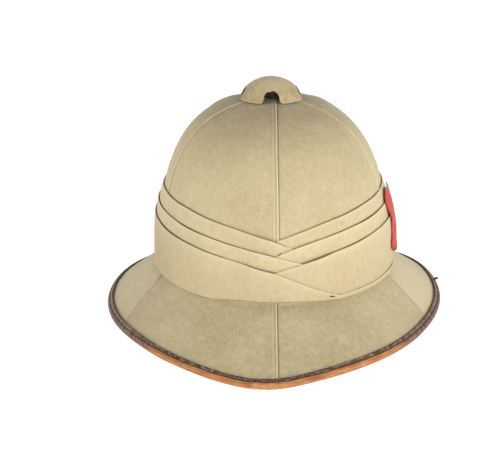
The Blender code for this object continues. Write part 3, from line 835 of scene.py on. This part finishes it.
cap_finish = woven_finish("cap_drill", (0.47, 0.365, 0.20), (0.73, 0.61, 0.37), (0.03, 0.012, 0.009),
                          mottle=1.3)
cap_columns = []
cap_rims = []
half_notch = math.asin(notch_width / 2 / cap_radius)
quarter = 2 * math.pi / cap_notches
lobe_turn = quarter - 2 * half_notch
for notch in range(cap_notches):
    ragged = 0.0004 * math.sin(2.0 * notch + 1.0)
    for share in np.sin(np.linspace(-math.pi / 2, math.pi / 2, notch_columns)):
        cap_columns.append(notch * quarter + share * half_notch)
        arch = (notch_height - corner_round) * (1 - abs(share) ** 3.2) ** 0.3
        cap_rims.append(corner_round + arch + ragged * math.sin(5.0 * share + notch) * (1 - share**2))
    for share in (1 - np.cos(np.linspace(0.0, math.pi, lobe_columns)))[1:-1] / 2:
        cap_columns.append(notch * quarter + half_notch + lobe_turn * share)
        off_corner = min(share, 1 - share) * lobe_turn * cap_radius
        short = max(corner_round - off_corner, 0.0)
        cap_rims.append(corner_round - math.sqrt(corner_round**2 - short**2))
cap_columns = np.array(cap_columns)
cap_rims = np.array(cap_rims)
cap_steps = 26


def dome_face(radius, rise, out):
    start = np.arcsin((cap_rims / rise) ** (cap_fullness / 2))
    rows = []
    for row in range(cap_steps):
        share = (row / cap_steps) ** 1.3
        angle = start + (math.pi / 2 - start) * share
        height = rise * np.sin(angle) ** (2 / cap_fullness)
        from_rim = height - cap_rims
        reach = radius * np.cos(angle) ** (2 / cap_fullness) + cap_lip * np.exp(-height / cap_lip_height) \
            + out * np.exp(-(from_rim / rim_flare) ** 2)
        rows.append(np.stack([reach * np.sin(cap_columns) - crown_lean - cap_shift,
                              axis_y - reach * np.cos(cap_columns), crown_top + height], axis=-1))
    return np.array(rows)


dome_outer = dome_face(cap_radius, cap_rise, 0.00025)
dome_inner = dome_face(cap_radius - cap_wall, cap_rise - cap_wall, -0.0001)
poles = np.array([[-crown_lean - cap_shift, axis_y, crown_top + cap_rise],
                  [-crown_lean - cap_shift, axis_y, crown_top + cap_rise - cap_wall]])
ring_columns = dome_outer.shape[1]
rim_mid = (dome_outer[0] + dome_inner[0]) / 2 + np.array([0.0, 0.0, -0.0004])
dome_points = np.concatenate([dome_outer[::-1], rim_mid[None], dome_inner])
rows = len(dome_points)
faces = []
for i in range(rows - 1):
    for j in range(ring_columns):
        k = (j + 1) % ring_columns
        faces.append((i * ring_columns + j, (i + 1) * ring_columns + j,
                      (i + 1) * ring_columns + k, i * ring_columns + k))
count = rows * ring_columns
for j in range(ring_columns):
    k = (j + 1) % ring_columns
    faces.append((count, j, k))
    faces.append((count + 1, (rows - 1) * ring_columns + k, (rows - 1) * ring_columns + j))
spots = np.concatenate([dome_points.reshape(-1, 3), poles])
mesh = bpy.data.meshes.new("vent_cap")
mesh.from_pydata(spots.tolist(), [], faces)
layer = mesh.uv_layers.new(name="cloth")
corners = np.array([loop.vertex_index for loop in mesh.loops])
layer.data.foreach_set("uv", (spots[corners][:, :2] * 1.1).reshape(-1).astype(np.float32))
# Painted shade: the cap's inside is near black, and a dark line lies along the lowest row of the lip
cap_shade = np.zeros((rows, ring_columns))
cap_shade[cap_steps + 1:] = 1.0
cap_shade[cap_steps - 1:cap_steps + 1] = ((0.45,), (0.9,))
# Paler towards the top, and a painted highlight along the rolled lip
pale_top_and_lip_highlight = np.zeros((rows, ring_columns))
pale_top_and_lip_highlight[:cap_steps] = 0.75 * ease(dome_outer[::-1, :, 2] - crown_top, 0.35 * cap_rise, cap_rise)
pale_top_and_lip_highlight[cap_steps - 3:cap_steps] = ((0.3,), (0.9,), (0.4,))
# The two poles come last, the outer one unshaded and the inner one in painted shade
keep_marks(mesh, {"dirt_and_shade": np.append(cap_shade, (0.0, 1.0)), "worn_and_lit": np.append(pale_top_and_lip_highlight, (0.0, 0.0))})
mesh.shade_smooth()
mesh.materials.append(cap_finish)
cap = bpy.data.objects.new("vent_cap", mesh)
put_in_scene(cap)
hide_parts("ventilator_cap")
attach(cap, "root")

# Brim binding: a strip of brown leather folded over the brim's edge round a roll and stitched through
# along its upper margin. The roll is rubbed orange where it rests and is handled, dark and dull elsewhere.
binding_columns = 1200
binding_turns = np.radians(np.arange(binding_columns) * 360.0 / binding_columns)
centre = edge_point(binding_turns)
_, down, normal, _ = brim_lines(binding_turns)
outward = down[:, :2] / np.hypot(down[:, 0], down[:, 1])[:, None]
girth = lengths_along(centre[:, None])[:, 0]
inside_reach = roll_radius - leather
wrinkle = 0.00010 * np.sin(girth * 2 * math.pi / 0.0021 + 1.3 * np.sin(girth * 170.0)) \
    + 0.00008 * np.sin(girth * 2 * math.pi / 0.0057 + 2.0 * np.sin(girth * 60.0))
section, roll_share, shaded_groove_share = [], [], []


def leather_point(point, roll, shaded_groove):
    section.append(point)
    roll_share.append(np.full(binding_columns, roll))
    shaded_groove_share.append(np.full(binding_columns, shaded_groove))


top_face = centre + normal * roll_radius
# Columns: distance out from the strip's inner margin, height over the leather, share of painted groove
# shade
for along, height, shaded_groove in ((0.0, -0.0007, 1.0), (0.0, -0.0003, 1.0), (0.0002, 0.0, 0.9),
                              (0.0006, 0.00010, 0.1), (0.0015, 0.00008, 0.0), (0.0022, -0.0001, 0.2),
                              (0.0027, -0.0003, 0.6), (0.0031, -0.0004, 0.9)):
    leather_point(top_face + down * (along - flange) + normal * (height + wrinkle * 0.8)[:, None],
                  0.0, shaded_groove)
# Columns: angle round the roll from level, sink into it, share of roll and of painted groove shade; worn
# flat underneath
for angle, sink, roll, shaded_groove in (
        (80.0, 0.0005, 0.0, 1.0), (68.0, 0.0004, 0.1, 0.9), (57.0, 0.0001, 0.6, 0.3), (45.0, 0.0, 1.0, 0.0),
        (30.0, 0.0, 1.0, 0.0), (15.0, 0.0, 1.0, 0.0), (0.0, 0.0, 1.0, 0.0), (-15.0, 0.0, 1.0, 0.0),
        (-30.0, 0.0001, 1.0, 0.0), (-45.0, 0.0003, 1.0, 0.0), (-60.0, 0.0006, 1.0, 0.0),
        (-78.0, 0.0008, 1.0, 0.0), (-102.0, 0.0008, 1.0, 0.0)):
    slope_up = np.arctan2(normal[:, 2], np.hypot(normal[:, 0], normal[:, 1]))
    reach = np.minimum(math.radians(angle), slope_up)
    spoke = np.concatenate([outward * np.cos(reach)[:, None], np.sin(reach)[:, None]], axis=1)
    leather_point(centre + spoke * (roll_radius - sink + wrinkle * 0.5)[:, None], roll, shaded_groove)
# Underneath and inside. Columns: way out from the roll's middle, height over it, share of roll and of
# painted groove shade
slot_end = tuck + glue_gap
for along, height, roll, shaded_groove in (
        (0.0, -roll_radius, 0.6, 0.0), (-flange, -roll_radius, 0.0, 0.2),
        (-flange, -inside_reach, 0.0, 1.0), (slot_end, -inside_reach, 0.0, 1.0),
        (slot_end, inside_reach, 0.0, 1.0), (-flange, inside_reach, 0.0, 1.0)):
    leather_point(centre + down * along + normal * height, roll, shaded_groove)
if len(section) % 2:
    leather_point((section[-1] + section[0]) / 2, 0.0, 1.0)
section = np.array(section)
run = lengths_along(section)
run_ring = np.concatenate([run, run[:, :1]], axis=1)
total = float(np.linalg.norm(centre[-1] - centre[0])) + girth[-1]
along_ring = np.tile(np.append(girth, total), (len(section), 1))
turned = np.degrees(np.arctan2(np.sin(binding_turns), np.cos(binding_turns)))
rubbed = 1.0 - ease(-turned, 40.0, 56.0) - ease(turned, 34.0, 58.0) \
    + 0.6 * ease(np.abs(turned), 140.0, 170.0)

leather_finish, tree, shader = new_finish("edge_leather", 0.45, Specular_IOR_Level=0.28)
flat = step(tree, "UVMap", {}, uv_map="cloth")
place = place_in(tree)
grain = noise(tree, place, 1400.0, 3.0, 0.6)
patches = noise(tree, place, 120.0, 4.0, 0.65)
creases = stretched_noise(tree, flat, 560.0, 110.0, 3.0, 0.65)
streaks = stretched_noise(tree, flat, 55.0, 1000.0, 3.0, 0.6)
glint_flecks = stretched_noise(tree, flat, 190.0, 900.0, 2.0, 0.6)
on_roll = mark_of(tree, "roll")
is_rubbed = mark_of(tree, "rubbed")
groove_shade = mark_of(tree, "shaded_groove")
hatch = ramp(tree, creases, 0.40, 0.64)
dull_roll = tinted(tree, hatch, (0.055, 0.024, 0.015, 1.0), (0.30, 0.175, 0.115, 1.0))
dull_strip = tinted(tree, hatch, (0.10, 0.055, 0.032, 1.0), (0.46, 0.31, 0.20, 1.0))
dull = tinted(tree, on_roll, dull_strip, dull_roll)
# Painted glints: grey flecks in the dark strip's colour stand in for reflections on glossy leather, shown
# where the leather is rubbed
glint = ramp(tree, glint_flecks, 0.50, 0.62)
strip = tinted(tree, glint, (0.075, 0.040, 0.024, 1.0), (0.38, 0.33, 0.29, 1.0))
dull = tinted(tree, maths(tree, "MULTIPLY", is_rubbed, 0.85), dull, strip)
orange = tinted(tree, ramp(tree, streaks, 0.34, 0.60), (0.22, 0.075, 0.026, 1.0), (0.60, 0.250, 0.078, 1.0))
orange = tinted(tree, ramp(tree, patches, 0.56, 0.72, high=0.55), orange, (0.72, 0.40, 0.23, 1.0))
share = maths(tree, "MULTIPLY", on_roll, is_rubbed)
share = maths(tree, "MULTIPLY", share, ramp(tree, patches, 0.25, 0.42))
colour = tinted(tree, share, dull, orange)
# Painted shade: grooves, the inner margin and the leather's underside and inside darken to near black, a
# little less where the leather is not rubbed
groove_darkening = maths(tree, "MULTIPLY", groove_shade, maths(tree, "MULTIPLY_ADD", is_rubbed, 0.4, 0.6))
colour = tinted(tree, groove_darkening, colour, (0.022, 0.011, 0.007, 1.0))
height = maths(tree, "MULTIPLY_ADD", creases, 1.5, grain)
relief = step(tree, "Bump", {"Strength": 0.6, "Distance": 0.00025, "Height": height})
shine = ramp(tree, creases, 0.3, 0.7, 0.38, 0.7)
join_shader(tree, shader, Base_Color=colour, Normal=relief, Roughness=shine)
binding = swept_piece("edge_binding", section, leather_finish, ring=True, uv=(run_ring, along_ring),
                      marks={"roll": np.array(roll_share), "shaded_groove": np.array(shaded_groove_share),
                             "rubbed": np.tile(rubbed, (len(section), 1))})
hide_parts("brim_binding")
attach(binding, "root")

# Felt flash: a patch of faded red wool felt on the wearer's left, laid over the band and curled a little
# at its rim, its top corner rubbed grey.
flash_azimuth = 82.5
flash_width = 0.036
flash_bottom = 0.0115
flash_top = 0.0590
flash_flare = 0.0014
felt = 0.0013
# Columns: share of the way down, how many degrees the front edge runs back there
flash_edge = ((0.0, 4.5), (0.05, 1.0), (0.12, -1.6), (0.25, -0.6), (0.40, 1.2), (0.56, 2.8), (0.70, 2.2),
              (0.84, 0.0), (0.93, 0.4), (1.0, 2.6))
flash_peak = 0.0035
felt_finish, tree, shader = new_finish("red_felt", 0.95, Sheen_Weight=0.25,
                                       Sheen_Tint=(1.0, 0.6, 0.55, 1.0), Specular_IOR_Level=0.1)
place = place_in(tree)
wool = noise(tree, place, 1800.0, 4.0, 0.75)
fading = noise(tree, place, 90.0, 3.0)
colour = tinted(tree, wool, (0.42, 0.024, 0.018, 1.0), (0.66, 0.08, 0.06, 1.0))
colour = tinted(tree, ramp(tree, fading, 0.42, 0.72, high=0.6), colour, (0.66, 0.20, 0.15, 1.0))
colour = tinted(tree, mark_of(tree, "greyed"), colour, (0.30, 0.25, 0.24, 1.0))
colour = tinted(tree, mark_of(tree, "stained"), colour, (0.12, 0.012, 0.010, 1.0))
relief = step(tree, "Bump", {"Strength": 0.8, "Distance": 0.0004, "Height": wool})
join_shader(tree, shader, Base_Color=colour, Normal=relief)

middle_turn = math.radians(flash_azimuth)
half_turn = math.degrees(flash_width / 2 / turn_speed(middle_turn))
flash_columns = np.linspace(-1.0, 1.0, 41)
to_front = np.clip(-flash_columns, 0.0, 1.0)
carriers = ("right_top", "right_middle", "right_bottom")
lifts = [band_clearance + fold_pitch * (fold_table[name][4] + 1) for name in carriers]
outer, inner, grey, stain = [], [], [], []
flash_rows = 60
for row in range(flash_rows):
    share = row / (flash_rows - 1)
    run_back = smooth_rows(flash_edge, share) * to_front
    degrees = flash_azimuth + half_turn * flash_columns + run_back
    edges = [fold_top(name, degrees) for name in carriers]
    fall = (lifts[2] - lifts[0]) / (edges[0] - edges[2])
    height = flash_top + (flash_bottom - flash_top) * share \
        + flash_peak * (1 - share) ** 4 * to_front**0.7 \
        + 0.002 * share**8 * np.abs(flash_columns) ** 8
    lift = lifts[2] - fall * np.maximum(height - edges[2], 0.0) + glue_gap / 2 + flash_flare * share**2
    rim = np.maximum(np.abs(flash_columns) - 0.9, 0.0) / 0.1
    curl = 0.0007 * rim**2 * (0.6 + 0.4 * np.sin(share * 19.0)) \
        + 0.0003 * (1 + np.sin(share * 11.0 + 1.0)) * ease(share, 0.1, 0.4)
    laid = ease(-flash_columns, 0.45, 0.95) * ease(share, 0.42, 0.55)
    curl = curl * (1 - laid) - flash_flare * share**2 * laid
    thick = felt * (1 - 0.35 * rim) * (0.55 + 0.45 * ease(share, 0.0, 0.25))
    inner.append(over_crown(degrees, height, lift + curl))
    outer.append(over_crown(degrees, height, lift + curl + thick))
    grey.append(np.full(len(degrees), max(0.0, 1 - share / 0.05)))
    stain.append(0.9 * ease(share, 0.93, 0.97) * ease(-flash_columns, 0.3, 0.7))
outer, inner, grey, stain = (np.array(rows) for rows in (outer, inner, grey, stain))
flash = swept_piece("felt_flash", wall_loops(outer, inner), felt_finish,
                    marks={"greyed": both_faces(grey), "stained": both_faces(stain)})
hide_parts("flash")
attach(flash, "root")

# Loose ends: a dark knot of the binding's sewing thread stands out at the wearer's left, a thread is
# knotted where the band crosses, another shows where its tail is tucked in, and lint lies on the brim.
dark_thread, _, _ = new_finish("dark_thread", 0.8, Base_Color=(0.016, 0.013, 0.012, 1.0))
lint_finish, _, _ = new_finish("white_lint", 0.9, Base_Color=(0.85, 0.82, 0.74, 1.0))
# Columns: one end, the other end, radius, finish and slot
loose_ends = {
    "binding_knot": ((0.1302, 0.0100, 0.0238), (0.1338, 0.0098, 0.0252), 0.0011, dark_thread,
                     "edge_leather"),
    "crossing_thread": ((-0.0006, -0.1134, 0.0828), (0.0040, -0.1128, 0.0868), 0.0003, dark_thread,
                        "band_cloth"),
    "crossing_knot": ((0.0026, -0.1136, 0.0840), (0.0044, -0.1136, 0.0836), 0.0005, lint_finish,
                      "band_cloth"),
    "tail_thread": ((0.0402, -0.1086, 0.0508), (0.0440, -0.1072, 0.0502), 0.0004, dark_thread,
                    "band_cloth"),
    "brim_lint": ((0.0918, -0.0680, 0.0378), (0.0932, -0.0672, 0.0376), 0.0005, lint_finish, "drill"),
}
for loose_end, (one_end, other_end, radius, finish, slot) in loose_ends.items():
    path = np.array([one_end, other_end])
    reach = float(np.linalg.norm(path[1] - path[0]))
    facing = np.tile((0.0, -0.6, 0.8), (2, 1))
    bit = stitch_row(loose_end, path, facing, 0.0, reach / 2, np.array([0.0, reach]), finish,
                     reach, reach, radius, 0.0)
